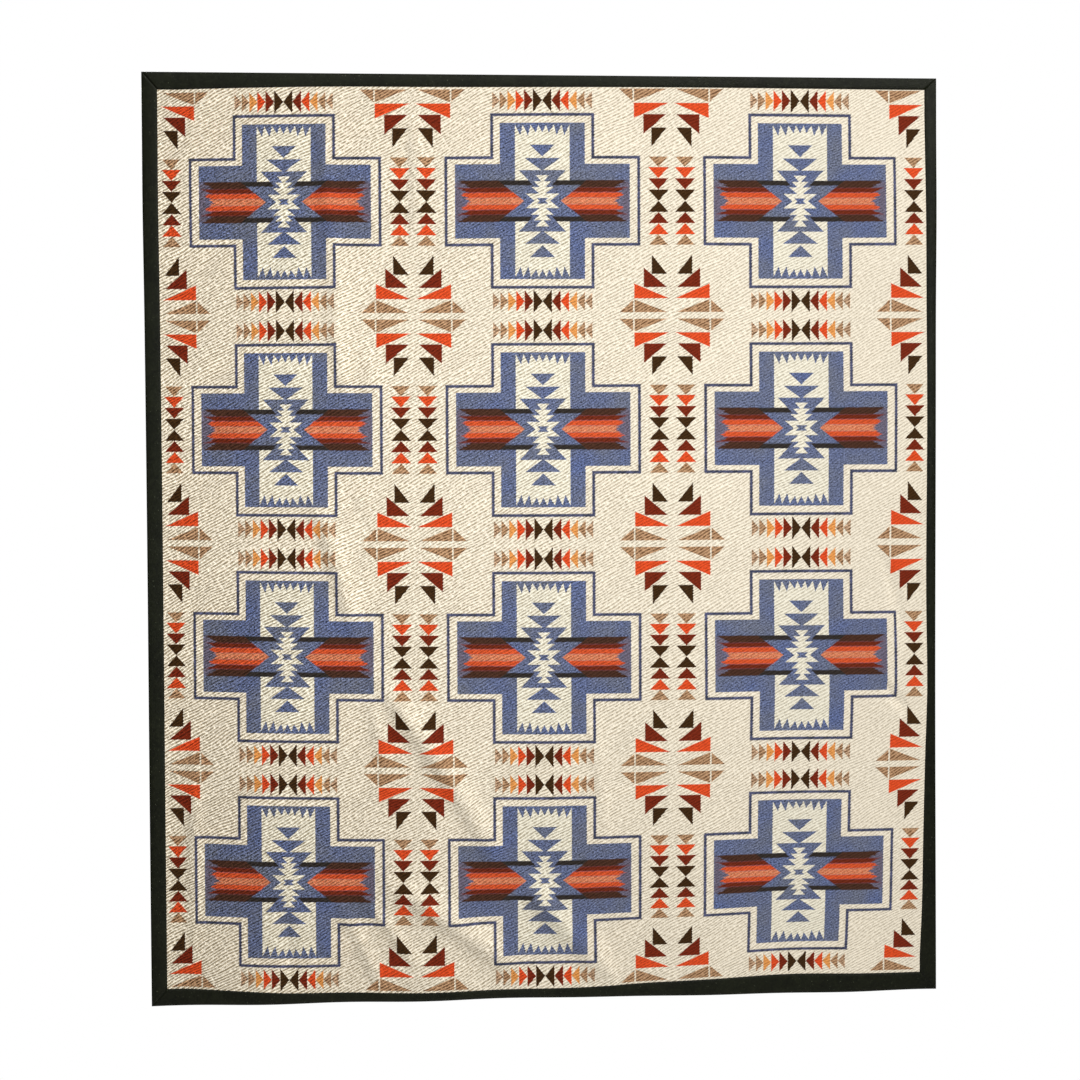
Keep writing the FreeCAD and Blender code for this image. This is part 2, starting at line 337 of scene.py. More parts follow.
class Shader:
    """One material, with short names for the nodes that it uses most."""

    def __init__(self, name, roughness, specular=0.5, metallic=0.0, sheen=0.0, coat=0.0):
        self.material = bpy.data.materials.new(name)
        self.material.use_nodes = True
        self.tree = self.material.node_tree
        self.surface = next(n for n in self.tree.nodes if n.type == "BSDF_PRINCIPLED")
        for socket, value in {
            "Roughness": roughness, "Specular IOR Level": specular, "Metallic": metallic,
            "Sheen Weight": sheen, "Sheen Roughness": 0.5, "Coat Weight": coat, "Coat Roughness": 0.25,
        }.items():
            self.surface.inputs[socket].default_value = value

    def node(self, kind):
        return self.tree.nodes.new(kind)

    def link(self, value, slot):
        feed(self.tree, value, slot)

    def object_place(self):
        return self.node("ShaderNodeTexCoord").outputs["Object"]

    def uv(self, name):
        node = self.node("ShaderNodeUVMap")
        node.uv_map = name
        return node.outputs[0]

    def parts(self, vector):
        node = self.node("ShaderNodeSeparateXYZ")
        self.link(vector, node.inputs[0])
        return [Field(self.tree, output) for output in node.outputs]

    def vector(self, x, y=0.0, z=0.0):
        node = self.node("ShaderNodeCombineXYZ")
        for slot, value in zip(node.inputs, (x, y, z)):
            self.link(value, slot)
        return node.outputs[0]

    def noise(self, vector, scale=1.0, detail=2.0, distortion=0.0):
        node = self.node("ShaderNodeTexNoise")
        self.link(vector, node.inputs["Vector"])
        for socket, value in (("Scale", scale), ("Detail", detail), ("Distortion", distortion)):
            node.inputs[socket].default_value = value
        return Field(self.tree, node.outputs[0])

    def mix(self, factor, first, second, blend="MIX"):
        node = self.node("ShaderNodeMix")
        node.data_type, node.blend_type = "RGBA", blend
        slots = [s for s in node.inputs if s.enabled]
        for slot, value in zip(slots, (factor, first, second)):
            self.link(value, slot)
        return next(s for s in node.outputs if s.enabled)

    def grey(self, value):
        """A field as a colour, to multiply another colour by."""
        node = self.node("ShaderNodeCombineColor")
        for slot in node.inputs[:3]:
            self.link(value, slot)
        return node.outputs[0]

    def blue_of(self, colour):
        node = self.node("ShaderNodeSeparateColor")
        self.link(colour, node.inputs[0])
        return Field(self.tree, node.outputs[2])

    def bump(self, height, distance, strength=1.0):
        node = self.node("ShaderNodeBump")
        node.inputs["Distance"].default_value = distance
        node.inputs["Strength"].default_value = strength
        self.link(height, node.inputs["Height"])
        self.link(node.outputs[0], self.surface.inputs["Normal"])

    def colour(self, value):
        self.link(value, self.surface.inputs["Base Color"])

    def rough(self, value):
        self.link(value, self.surface.inputs["Roughness"])


# -------- the woven face

CREAM = linear(231, 222, 203)
PANEL = linear(228, 223, 205)
BLUE = linear(106, 112, 131)
BLUE_BRIGHT = linear(90, 103, 144)
OUTLINE = linear(84, 88, 119)
OUTLINE_DARK = linear(57, 61, 80)
BLACK = linear(60, 38, 14)
MAROON = linear(115, 38, 17)
ORANGE = linear(217, 77, 36)
YELLOW = linear(224, 151, 82)
TAN = linear(186, 148, 113)
PALE_TAN = linear(196, 164, 134)
BROWN = linear(122, 88, 60)
GROOVE_PAINTED_SHADE = (0.56, 0.49, 0.38, 1.0)      # painted shade: what the shade in a groove does to the colour there
BAR_BLACK = linear(48, 43, 40)
BAR_BROWN = linear(70, 44, 32)
BAR_MAROON = linear(108, 40, 20)
BAR_ORANGE = linear(208, 83, 43)
SALMON = linear(230, 150, 112)
RUST = linear(184, 92, 58)
DUSK = linear(104, 98, 116)

MM_PER_METRE = 1000
RIB_PITCH = 5.3                 # mm between the twill's diagonal ribs
RIB_ANGLE = math.radians(29)
RIB_WANDER = 3.0                # how many ribs' width the ribs drift aside
RIB_RELIEF = 1.1 * MM
RIB_RELIEF_AND_SHADE_FALLOFF = 1.3                  # the ribs' bump depth and their painted shade and highlights fall by e to this power across the quilt
CLEAN_EDGE = 1.1                # how soft a colour's edge is, in mm
SOFT_EDGE = 2.0

# The medallion, in mm from its centre. A cross is the half width and half height of its upright bar, then of
# its level bar. A triangle is its base's level, its half width and its height.
OUTLINE_CROSS = (97.3, 165.0, 184.9, 84.5)
OUTLINE_THICK = 5.7
FIELD_CROSS = (79.4, 146.7, 164.8, 69.6)
BARS_HIGH, BLACK_LOW, BROWN_LOW = 38.7, 29.3, 25.0      # the bars' bands, from the outside in
MAROON_HIGH, MAROON_LOW, ORANGE_LOW = 25.5, 16.0, 6.2
BARS_END, ORANGE_END, SALMON_END = 159.3, 152.8, 136.6
DUSK_FROM, DUSK_TO = 128.0, 163.5
PANEL_WIDE, PANEL_TALL = 50.9, 142.8
TOOTH_PITCH, TOOTH_HALF, TOOTH_TALL = 14.5, 7.3, 14.7
OUTER_TEETH, OUTER_TEETH_TALLER = 21.8, 5.3
BLUE_TRIANGLES = ((105.5, 23.3, 22.6), (80.4, 33.1, 24.5))
CUT_TRIANGLE, CUT_AT = (57.7, 44.2, 46.7), 38.0
PALE_TRIANGLES = ((47.9, 11.9, 13.9), (36.4, 15.7, 15.6), (25.9, 20.3, 16.9), (13.6, 31.0, 25.6))

# Between the medallions, in mm. The row and the column of arrowheads lie ROW_AT and COLUMN_AT from the middle
# of the gap, and the fan is measured from it too.
ROW_AT, ROW_PITCH, ROW_COUNT = 28.1, 17.6, 6.0
ROW_HALF_TALL, ROW_TAPER = 22.5, 1.15        # the arrowheads shrink along the row
COLUMN_AT, COLUMN_PITCH, COLUMN_HALF_WIDE, COLUMN_END = 26.1, 21.1, 20.0, 83.0
FAN_FOOT, FAN_TIP, FAN_REACH, FAN_SLIT = 6.3, 8.8, 102.2, 74.5
FAN_BLADES = (
    # foot, reach, where it starts, slope, colour
    (33.0, 73.5, 6.0, 0.419, ORANGE),
    (54.3, 55.2, 10.0, 0.823, MAROON),
    (79.4, 39.7, 9.5, 1.209, BLACK),
)


class WovenFace(Shader):
    """The patterned cloth: colours laid one by one over the cream ground, then lightened on the ribs and
    darkened in their grooves as painted highlights and painted shade.

    u and v are how far a point is from the nearest medallion's centre, across and down, and du and dv how far
    from the middle of the gap between medallions, all in mm. A shape is the distance inside its outline, so
    least() keeps what shapes share and most() joins them.
    """

    def __init__(self):
        super().__init__("woven_cotton_face", roughness=0.9, specular=0.12)
        across, down, _ = self.parts(self.uv("cloth"))
        self.across, self.down = across * MM_PER_METRE, down * MM_PER_METRE
        self.twill()
        self.yarn = self.noise(self.vector(self.along / 1.6, self.rib * 3.0))
        self.grain = self.noise(self.vector(self.across / 3.2, self.down / 2.4))
        self.cloud = self.noise(self.vector(self.across / 70, self.down / 70), detail=3)
        self.place_in_repeat()

        self.blue = self.mix(clamped(self.cloud * 2.4 - 0.75), BLUE, BLUE_BRIGHT)
        self.tan = self.mix(clamped(self.groove * 1.2), TAN, BROWN)
        self.pale_tan = self.mix(clamped(self.groove * 1.2), PALE_TAN, BROWN)
        self.woven = CREAM
        self.stepped_cross()
        self.banded_bars()
        self.pale_panel()
        self.arrowhead_row()
        self.arrowhead_column()
        self.corner_fan()
        self.shade_ribs()

    def twill(self):
        """The diagonal ribs: their height (wave), and how open the grooves between them are (strength)."""
        n_across, n_down = math.sin(RIB_ANGLE), math.cos(RIB_ANGLE)
        rib = (self.across * n_across + self.down * n_down) / RIB_PITCH
        self.along = self.across * n_down - self.down * n_across
        drift = self.noise(self.vector(self.along / 90, rib / 14), detail=1)
        self.rib = rib + drift * RIB_WANDER
        self.wave = sine(self.rib * (2 * math.pi)) * 0.5 + 0.5
        dashes = self.noise(self.vector(self.along / 6, self.rib * 0.9))
        self.strength = clamped((dashes - 0.28) * 3.0)
        self.groove = (1 - self.wave) * self.strength

    def place_in_repeat(self):
        """The ribs carry the colours a little to one side, so slanting and upright edges come out toothed."""
        tooth = (self.wave - 0.5) * self.strength * 1.3 + (self.yarn - 0.5) * 1.6
        self.toothed_down = self.down + tooth * 0.5
        self.u = abs(fraction((self.across + tooth) / CELL_WIDE) - 0.5) * CELL_WIDE
        self.v = abs(fraction(self.toothed_down / CELL_TALL) - 0.5) * CELL_TALL
        self.du = HALF_WIDE - self.u
        self.dv = HALF_TALL - self.v

    def lay(self, shape, value, soft=CLEAN_EDGE):
        self.woven = self.mix(inside(shape, soft), self.woven, value)

    def cross(self, upright_wide, upright_tall, level_wide, level_tall):
        upright = least(upright_wide - self.u, upright_tall - self.v)
        return most(upright, least(level_wide - self.u, level_tall - self.v))

    def triangle(self, base, half_width, tall):
        """Its base is at v = base, and its point is towards the medallion's centre."""
        return least(base - self.v, (half_width - (base - self.v) * (half_width / tall)) - self.u)

    def stepped_cross(self):
        """The thin stepped outline and the blue field inside it."""
        outer = self.cross(*OUTLINE_CROSS)
        dyed = self.noise(self.vector(self.across / 18, self.down / 18))
        line = self.mix(clamped(dyed * 3 - 1.0), OUTLINE, OUTLINE_DARK)
        self.lay(least(outer, OUTLINE_THICK - outer), line, SOFT_EDGE)
        self.lay(self.cross(*FIELD_CROSS), self.blue)

    def banded_bars(self):
        """Level bands of colour, which run out into the blue in soft streaks."""
        u, v = self.u, self.v
        streak = (self.noise(self.vector(u / 22, self.toothed_down / 1.7)) - 0.5) * 34
        ragged = (self.noise(self.vector(u / 16, self.toothed_down / 3.0), detail=1) - 0.5) * 2.4
        w = v + ragged
        dusk = least((u + streak - DUSK_FROM) / 26, (40 - v) / 6)
        self.woven = self.mix(clamped(dusk) * inside(DUSK_TO - u, SOFT_EDGE), self.woven, DUSK)
        inner = u - (34.5 + 1.25 * v)
        black_inner = u - (44.2 - (57.7 - v) * 0.946)
        far = u + streak * 0.8
        black_end = BARS_END - (BARS_HIGH - v) * 1.74 - far
        maroon_end = BARS_END - (25.3 - v) * 2.45 - far
        orange_end = ORANGE_END - abs(v - 12.1) * 1.9 - far
        speckle = self.mix(clamped(self.grain * 5 - 2.1), SALMON, RUST)
        self.lay(least(BARS_HIGH - w, w - BLACK_LOW, black_inner, black_end), BAR_BLACK, SOFT_EDGE)
        self.lay(least(BARS_HIGH - w, w - BROWN_LOW, inner, black_end), BAR_BROWN, SOFT_EDGE)
        self.lay(least(MAROON_HIGH - w, w - MAROON_LOW, inner, maroon_end), BAR_MAROON, 3.0)
        self.lay(least(MAROON_LOW - w, w - ORANGE_LOW, inner, orange_end), BAR_ORANGE, 2.4)
        self.lay(least(ORANGE_LOW - w, inner, SALMON_END + v - far), speckle, 2.6)

    def pale_panel(self):
        """The pale upright panel with its toothed ends, and the triangles down its middle."""
        u, v = self.u, self.v
        step = fraction((u + TOOTH_HALF) / TOOTH_PITCH)
        tip = 0.5 - inside(u - TOOTH_HALF, 0.5) * 0.17      # all teeth but the middle one lean inwards
        tall = TOOTH_TALL + inside(u - OUTER_TEETH, 0.5) * OUTER_TEETH_TALLER
        tooth = least(step / tip, (1 - step) / (1 - tip)) * tall
        self.lay(least(PANEL_WIDE - u, v - BARS_HIGH, PANEL_TALL - tooth - v), PANEL)
        for sizes in BLUE_TRIANGLES:
            self.lay(self.triangle(*sizes), self.blue)
        self.lay(least(self.triangle(*CUT_TRIANGLE), v - CUT_AT), self.blue)
        for sizes in PALE_TRIANGLES:
            self.lay(self.triangle(*sizes), PANEL)
        self.lay(least(5.3 - v, 5.5 + 1.02 * v - u), self.blue)

    def arrowheads(self, arrow, turn, wide, colours):
        """One arrowhead to each turn, each of its own colour."""
        for count, value in enumerate(colours):
            self.lay(least(arrow, (turn - count) * wide, (count + 1 - turn) * wide + 0.3), value)

    def arrowhead_row(self):
        turn = self.u / ROW_PITCH * (1 + 0.0014 * self.u)
        arrow = (ROW_HALF_TALL - ROW_TAPER * whole(turn)) * fraction(turn) - abs(self.dv - ROW_AT)
        arrow = least(arrow, (ROW_COUNT - turn) * 15)
        self.arrowheads(arrow, turn, 17, (BLACK, MAROON, ORANGE, YELLOW, self.tan, self.pale_tan))

    def arrowhead_column(self):
        turn = self.v / COLUMN_PITCH
        arrow = least(COLUMN_HALF_WIDE * fraction(turn) - abs(self.du - COLUMN_AT), COLUMN_END - self.v)
        self.arrowheads(arrow, turn, 21, (BLACK, MAROON, ORANGE, self.tan))

    def corner_fan(self):
        du, dv = self.du, self.dv
        rising = (FAN_FOOT + (du - FAN_TIP) * 0.382) - dv
        falling = (FAN_FOOT + (FAN_REACH - du) * 0.906) - dv
        self.lay(least(dv - FAN_FOOT, rising, falling, abs(du - FAN_SLIT) - 1.5), self.tan)
        for foot, reach, start, slope, value in FAN_BLADES:
            self.lay(least(dv - foot, reach - du, (foot + (du - start) * slope) - dv), value)

    def shade_ribs(self):
        """The ribs' bump and their painted shade and highlights stand out most on the left of the hanging
        quilt, as a light raking from the right would show them, and the painted part most in the pale yarn.
        """
        patch = self.noise(self.vector(self.across / 120, self.down / 120))
        # the ribs' bump and painted shade fade from left to right, as raking light would show them
        relief_and_shade_falloff = calc("POWER", math.e, self.across * (-RIB_RELIEF_AND_SHADE_FALLOFF / (COLUMNS * CELL_WIDE)))
        # how strongly the ribs' bump and painted shade show, with random patches
        bold = relief_and_shade_falloff * (2.4 + patch * 0.8)
        pale = clamped(self.blue_of(self.woven) * 2.4 - 0.35)
        # the strength of the ribs' painted shade and highlights, more in the pale yarn
        depth = bold * (0.65 + 0.35 * pale)
        fleck = (self.yarn - 0.5) * (bold * 0.50 + 0.20 + (1 - pale) * 0.55)
        grainy = (1 - pale) * (0.4 + pale * 8)      # the blue yarn is the most speckled, the cream not at all
        fleck = fleck + (self.grain - 0.5) * grainy * (1.4 + bold * 0.8)
        # painted highlights on the ribs and painted shade in their grooves, with random yarn flecks and
        # cloudy tone
        shade = 1.10 + depth * (0.21 - self.groove * 0.30) + fleck - (0.5 - self.cloud) * 0.14
        shaded = self.mix(1.0, self.woven, self.grey(shade), "MULTIPLY")
        # painted shade: the colour darkened in the ribs' grooves
        with_groove_shade_painted = self.mix(1.0, shaded, GROOVE_PAINTED_SHADE, "MULTIPLY")
        self.colour(self.mix(clamped(self.groove * 0.60 * depth), shaded, with_groove_shade_painted))
        self.rough(0.90 - self.wave * 0.08)
        self.bump(bold * (self.wave * (0.40 + 0.50 * self.strength) + self.yarn * 0.34), RIB_RELIEF)


def plain_cloth(
    name, colour, deep, yarn=0.9, roughness=0.85, specular=0.25, bump=0.3, sheen=0.1, crease=0.5, lint=None,
):
    """Plain-woven cotton: over-and-under yarns (their pitch in mm), slubs and soft creases, whose hollows are
    darkened in the colour as painted shade.
    """
    shader = Shader(name, roughness=roughness, specular=specular, sheen=sheen)
    place = shader.object_place()
    x, _, z = shader.parts(place)
    turns = 2 * math.pi / (yarn * MM)
    cloth = sine(x * turns) * sine(z * turns) * 0.5 + 0.5
    level_slubs = shader.noise(shader.vector(x * 60, z * 900))
    upright_slubs = shader.noise(shader.vector(x * 900, z * 60))
    slub = level_slubs * 0.5 + upright_slubs * 0.5
    worn = shader.noise(place, scale=9, detail=4)
    wrinkle = shader.noise(place, scale=42, detail=4, distortion=1.2)
    mottle = shader.noise(place, scale=260, detail=3)
    tint = 0.15 + slub * 0.5 + (worn - 0.5) * 0.8 + cloth * 0.15
    # painted shade: the wrinkles darken the colour where their bump sinks; the mottle is random tone
    tint = tint + (wrinkle - 0.5) * crease + (mottle - 0.5) * crease
    tinted = shader.mix(clamped(tint), deep, colour)
    if lint:
        specks = shader.noise(place, scale=420, detail=1)
        tinted = shader.mix(clamped((specks - 0.73) * 14), tinted, lint)
    shader.colour(tinted)
    shader.rough(roughness - 0.10 * clamped(wrinkle))
    shader.bump(cloth * 0.2 + slub * 0.5 + wrinkle * 1.6 * crease, bump * MM)
    return shader.material


def wadding():
    shader = Shader("cotton_wadding", roughness=1.0, specular=0.1, sheen=0.2)
    fluff = shader.noise(shader.object_place(), scale=160, detail=5, distortion=1.5)
    shader.colour(shader.mix(fluff, linear(214, 208, 196), linear(243, 239, 230)))
    shader.bump(fluff, 1.2 * MM, 0.8)
    return shader.material


def wood(name, pale, dark, grain=(1.6, 26, 26)):
    shader = Shader(name, roughness=0.45, specular=0.4, coat=0.15)
    x, y, z = shader.parts(shader.object_place())
    stretched = shader.vector(x * grain[0], y * grain[1], z * grain[2])
    figure = shader.noise(stretched, detail=4, distortion=0.8)
    rings = sine(figure * 38) * 0.5 + 0.5
    pores = shader.noise(shader.vector(x * 60, y * 900, z * 900))
    tint = clamped(rings * 0.55 + figure * 0.35 + (pores - 0.5) * 0.5)
    shader.colour(shader.mix(tint, pale, dark))
    shader.rough(0.40 + 0.18 * pores)
    shader.bump(rings * 0.3 + pores * 0.7, 0.15 * MM, 0.7)
    return shader.material


def metal(name, colour, tone, roughness, metallic, grain, depth, stretch=(1, 1, 1)):
    shader = Shader(name, roughness=roughness, metallic=metallic)
    x, y, z = shader.parts(shader.object_place())
    stretched = shader.vector(x * stretch[0], y * stretch[1], z * stretch[2])
    texture = shader.noise(stretched, scale=grain, detail=3)
    smudge = shader.noise(shader.object_place(), scale=28, detail=3)
    shader.colour(shader.mix(clamped(texture * 0.6 + smudge * 0.4), colour, tone))
    shader.rough(roughness - 0.08 + 0.2 * smudge)
    shader.bump(texture, depth * MM, 0.6)
    return shader.material


def felt():
    shader = Shader("grey_felt", roughness=1.0, specular=0.1, sheen=0.4)
    fuzz = shader.noise(shader.object_place(), scale=900, detail=4)
    shader.colour(shader.mix(fuzz, linear(70, 70, 68), linear(118, 117, 112)))
    shader.bump(fuzz, 0.4 * MM, 0.8)
    return shader.material


def thread(name, colour, dark):
    shader = Shader(name, roughness=0.7, specular=0.35, sheen=0.1)
    twist = shader.noise(shader.object_place(), scale=1800, detail=1)
    shader.colour(shader.mix(twist, dark, colour))
    shader.bump(twist, 0.1 * MM, 0.6)
    return shader.material


face_cloth = WovenFace().material
backing_cloth = plain_cloth("natural_cotton_backing", linear(226, 218, 200), linear(196, 186, 166))
sleeve_cloth = plain_cloth("natural_cotton_sleeve", linear(222, 213, 194), linear(190, 179, 158))
binding_cloth = plain_cloth(
    "black_cotton_binding", linear(31, 34, 20), linear(7, 9, 3), yarn=0.7, roughness=0.50, specular=0.13,
    bump=0.6, sheen=0.0, crease=1.0, lint=linear(92, 96, 78),
)
batting_stuff = wadding()
black_thread = thread("black_thread", linear(40, 40, 35), linear(18, 18, 16))
cream_thread = thread("cream_thread", linear(232, 226, 208), linear(186, 176, 152))

# -------- the quilt's layers

FACE_STEP, LAYER_STEP = 6.5 * MM, 9 * MM       # the spacing of the cloths' points
BATTING_GAP = 1.2 * MM                         # between the wadding and each cloth
BATTING_SHORT = 1.5 * MM                       # how far short of the cloths the wadding stops

def sag(x, depth):
    """How far the design has risen at a place of the hanging cloth, in metres."""
    stations = list(SAG)
    curves = [through(list(zip(SAG_DEPTHS, SAG[station])), depth) for station in stations]
    total = curves[0]
    for i in range(len(stations) - 1):
        share = np.clip((x - stations[i]) / (stations[i + 1] - stations[i]), 0, 1)
        total = total + (curves[i + 1] - curves[i]) * share
    return total * MM


def design_place(x, z):
    """Where a point of the hanging face is on the flat woven design, which runs from binding to binding."""
    depth = EDGE_TOP - z
    right = EDGE_RIGHT - shown_right(x, z)
    usual_right = EDGE_RIGHT - USUAL_RIGHT
    drawn_in = (right - usual_right) * smooth(0.05, 0.68, x) + LEAN * (depth - HEIGHT / 2)
    at = [EDGE_LEFT + SHOWN_LEFT * MM]
    design = [0.0]
    for column, outline in enumerate(OUTLINES_AT):
        centre = (column + 0.5) * CELL_WIDE
        at += outline
        design += [centre - OUTLINE_REACH, centre + OUTLINE_REACH]
    at.append(usual_right)
    design.append(COLUMNS * CELL_WIDE)
    plain = x - drawn_in
    past_left = np.where(plain < at[0], (plain - at[0]) / MM, 0)
    past_right = np.where(plain > at[-1], (plain - at[-1]) / MM, 0)
    across = through(list(zip(at, design)), plain) + (past_left + past_right)
    top, bottom = shown_top(x, z), HEIGHT - shown_bottom(x, z)
    depth = depth + sag(x, depth)
    down = 0.5 + (ROWS - 1) * (depth - FIRST_ROW) / (LAST_ROW - FIRST_ROW)
    down = np.where(depth < FIRST_ROW, 0.5 * (depth - top) / (FIRST_ROW - top), down)
    down = np.where(depth > LAST_ROW, ROWS - 0.5 * (bottom - depth) / (bottom - LAST_ROW), down)
    return across * MM, down * CELL_TALL * MM


def layer_grid(step, inset):
    xs = np.linspace(EDGE_LEFT + inset, EDGE_RIGHT - inset, int(WIDTH / step))
    zs = np.linspace(EDGE_BOTTOM + inset, EDGE_TOP - inset, int(HEIGHT / step))
    return np.meshgrid(xs, zs)


def cloth_layer(name, y, step, material, face_forward=True):
    x, z = layer_grid(step, LAYER_INSET)
    faces = grid_faces(*x.shape)
    if not face_forward:
        faces = faces[:, ::-1]
    return add_object(name, np.stack([x, y - relief(x, z), z], -1), faces, material), x, z


def name_design(thing, x, z):
    """Writes the flat design's coordinates, in metres, into a UV map that the weave reads."""
    across, down = design_place(x.ravel(), z.ravel())
    corners = np.empty(len(thing.data.loops), np.int32)
    thing.data.loops.foreach_get("vertex_index", corners)
    layer = thing.data.uv_layers.new(name="cloth")
    layer.data.foreach_set("uv", np.stack([across[corners], down[corners]], -1).astype(np.float32).ravel())


quilt_face, grid_x, grid_z = cloth_layer("quilt_face", FACE_Y, FACE_STEP, face_cloth)
name_design(quilt_face, grid_x, grid_z)
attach(quilt_face, "quilt")
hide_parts("quilt_top")

backing, _, _ = cloth_layer("backing", BACKING_Y, LAYER_STEP, backing_cloth, face_forward=False)
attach(backing, "quilt")
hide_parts("quilt_backing")


def batting_layer():
    """A closed slab of wadding between the two cloths."""
    x, z = layer_grid(LAYER_STEP, LAYER_INSET + BATTING_SHORT)
    forward = relief(x, z)
    front = np.stack([x, BATTING_FRONT + BATTING_GAP - forward, z], -1)
    back = np.stack([x, BATTING_BACK - BATTING_GAP - forward, z], -1)
    rows, columns = x.shape
    count = rows * columns
    rim = np.concatenate([
        np.arange(columns),
        np.arange(1, rows) * columns + columns - 1,
        (rows - 1) * columns + np.arange(columns - 2, -1, -1),
        np.arange(rows - 2, 0, -1) * columns,
    ])
    following = np.roll(rim, -1)
    sides = np.stack([rim, rim + count, following + count, following], -1)
    quads = grid_faces(rows, columns)
    faces = np.concatenate([quads, quads[:, ::-1] + count, sides])
    points = np.concatenate([front.reshape(-1, 3), back.reshape(-1, 3)])
    return facing_out(add_object("wadding", points, faces, batting_stuff))


batting = batting_layer()
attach(batting, "quilt")
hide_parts("quilt_batting")

# -------- the binding

FRONT_STEPS, ROLL_STEPS, BACK_STEPS = 8, 8, 6
BINDING_STEP = 6 * MM          # the spacing of the binding's points along each edge
PUFF, TUCK = 0.9 * MM, 0.3 * MM        # how far the folded strip puffs up, and tucks in at its inner edge
INNER_PUFF = 0.8               # the share of the puff that the strip's inner skin has


class Side:
    """One edge of the quilt: where it starts, which way it runs, and how much binding shows along it."""

    def __init__(self, name, start, along, inward, shown, before, after, length):
        self.name, self.length = name, length
        self.start, self.along, self.inward = (np.array(v, float) for v in (start, along, inward))
        self.shown = shown                          # width on the face for points (x, z)
        self.before, self.after = before, after     # the neighbours' widths at the two corners

    def place(self, distance, inset):
        flat = self.start + np.multiply.outer(distance, self.along) + np.multiply.outer(inset, self.inward)
        return flat[..., 0], flat[..., 1]

    def shown_at(self, distance):
        return self.shown(*self.place(distance, np.zeros_like(distance)))

    def leg(self, share, k, width, before, after):
        """A place on a leg: share of the way along, and k of the way in from the roll to its inner edge."""
        first = ROLL + k * (before - ROLL)
        last = ROLL + k * (after - ROLL)
        distance = first + share * (self.length - first - last)
        return self.place(distance, ROLL + k * (width(distance) - ROLL))

    def front(self, share, k):
        return self.leg(share, k, self.shown_at, self.before, self.after)

    def back(self, share, k):
        return self.leg(share, k, lambda distance: np.full_like(distance, BACK_LEG), BACK_LEG, BACK_LEG)


# The widths at the corners: a table's curve is level past its ends.
TOP_LEFT, TOP_RIGHT = SHOWN_TOP[0][1] * MM, SHOWN_TOP[-1][1] * MM
LOW_LEFT, LOW_RIGHT = SHOWN_BOTTOM[0][1] * MM, SHOWN_BOTTOM[-1][1] * MM
RIGHT_TOP, RIGHT_LOW = SHOWN_RIGHT[0][1] * MM, SHOWN_RIGHT[-1][1] * MM
LEFT_SHOWN = SHOWN_LEFT * MM

SIDES = (
    Side("top", (EDGE_LEFT, EDGE_TOP), (1, 0), (0, -1), shown_top, LEFT_SHOWN, RIGHT_TOP, WIDTH),
    Side("right", (EDGE_RIGHT, EDGE_TOP), (0, -1), (-1, 0), shown_right, TOP_RIGHT, LOW_RIGHT, HEIGHT),
    Side("bottom", (EDGE_RIGHT, EDGE_BOTTOM), (-1, 0), (0, 1), shown_bottom, RIGHT_LOW, LEFT_SHOWN, WIDTH),
    Side("left", (EDGE_LEFT, EDGE_BOTTOM), (0, 1), (1, 0), shown_left, LOW_LEFT, TOP_LEFT, HEIGHT),
)


def binding_path(side, share, skin):
    """The strip's path from its inner edge on the face, round the roll, to its inner edge on the back.

    skin is how far under the outer surface the path lies. It gives points, one row for each station.
    """
    radius = ROLL - skin
    middle = (BINDING_FRONT + BINDING_BACK) / 2
    rows = []

    def add_row(place, y):
        x, z = place
        rows.append(np.stack([x, np.full_like(x, y), z], -1))

    for k in np.linspace(1, 0, FRONT_STEPS, endpoint=False):
        puff = PUFF * math.sin(math.pi * min(1.0, k * 1.02)) ** 0.7 if k < 1 else -TUCK
        if skin > 0:
            puff *= INNER_PUFF
        add_row(side.front(share, k), middle - radius - puff)
    for angle in np.radians(np.linspace(-90, 90, ROLL_STEPS)):
        inset = ROLL - radius * math.cos(angle)
        distance = inset + share * (side.length - 2 * inset)
        add_row(side.place(distance, np.full_like(distance, inset)), middle + radius * math.sin(angle))
    for k in np.linspace(0, 1, BACK_STEPS + 1)[1:]:
        add_row(side.back(share, k), middle + radius)
    return np.stack(rows, 1)


def bound_edge(side):
    share = np.linspace(0, 1, int(side.length / BINDING_STEP))
    outer = binding_path(side, share, 0.0)
    inner = binding_path(side, share, BINDING_CLOTH)[:, ::-1]
    loop = np.concatenate([outer, inner], 1)
    loop[..., 1] -= relief(loop[..., 0], loop[..., 2])
    stations, around = loop.shape[:2]
    faces = [tuple(f) for f in grid_faces(stations, around, wrap=True)]
    half = outer.shape[1]
    for row in (0, stations - 1):
        for i in range(half - 1):
            faces.append(tuple(row * around + j for j in (i, i + 1, around - 2 - i, around - 1 - i)))
    return facing_out(add_object(f"edge_binding_{side.name}", loop, faces, binding_cloth))


for side in SIDES:
    strip = bound_edge(side)
    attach(strip, "quilt")
    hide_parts(f"binding_{side.name}")

# -------- stitches

RINGS, THREAD_SIDES = 5, 6     # points along a stitch and round it
STITCH_PITCH = 3.4 * MM
SEAM_ENDS = (0.004, 0.996)     # the shares of an edge at which its stitches start and end
FRONT_SEAM, BACK_SEAM = 0.92, 0.93             # how far in across the binding each seam runs
FRONT_LIFT, BACK_LIFT = 0.32 * MM, 0.08 * MM   # how far each seam stands off the binding's flat place


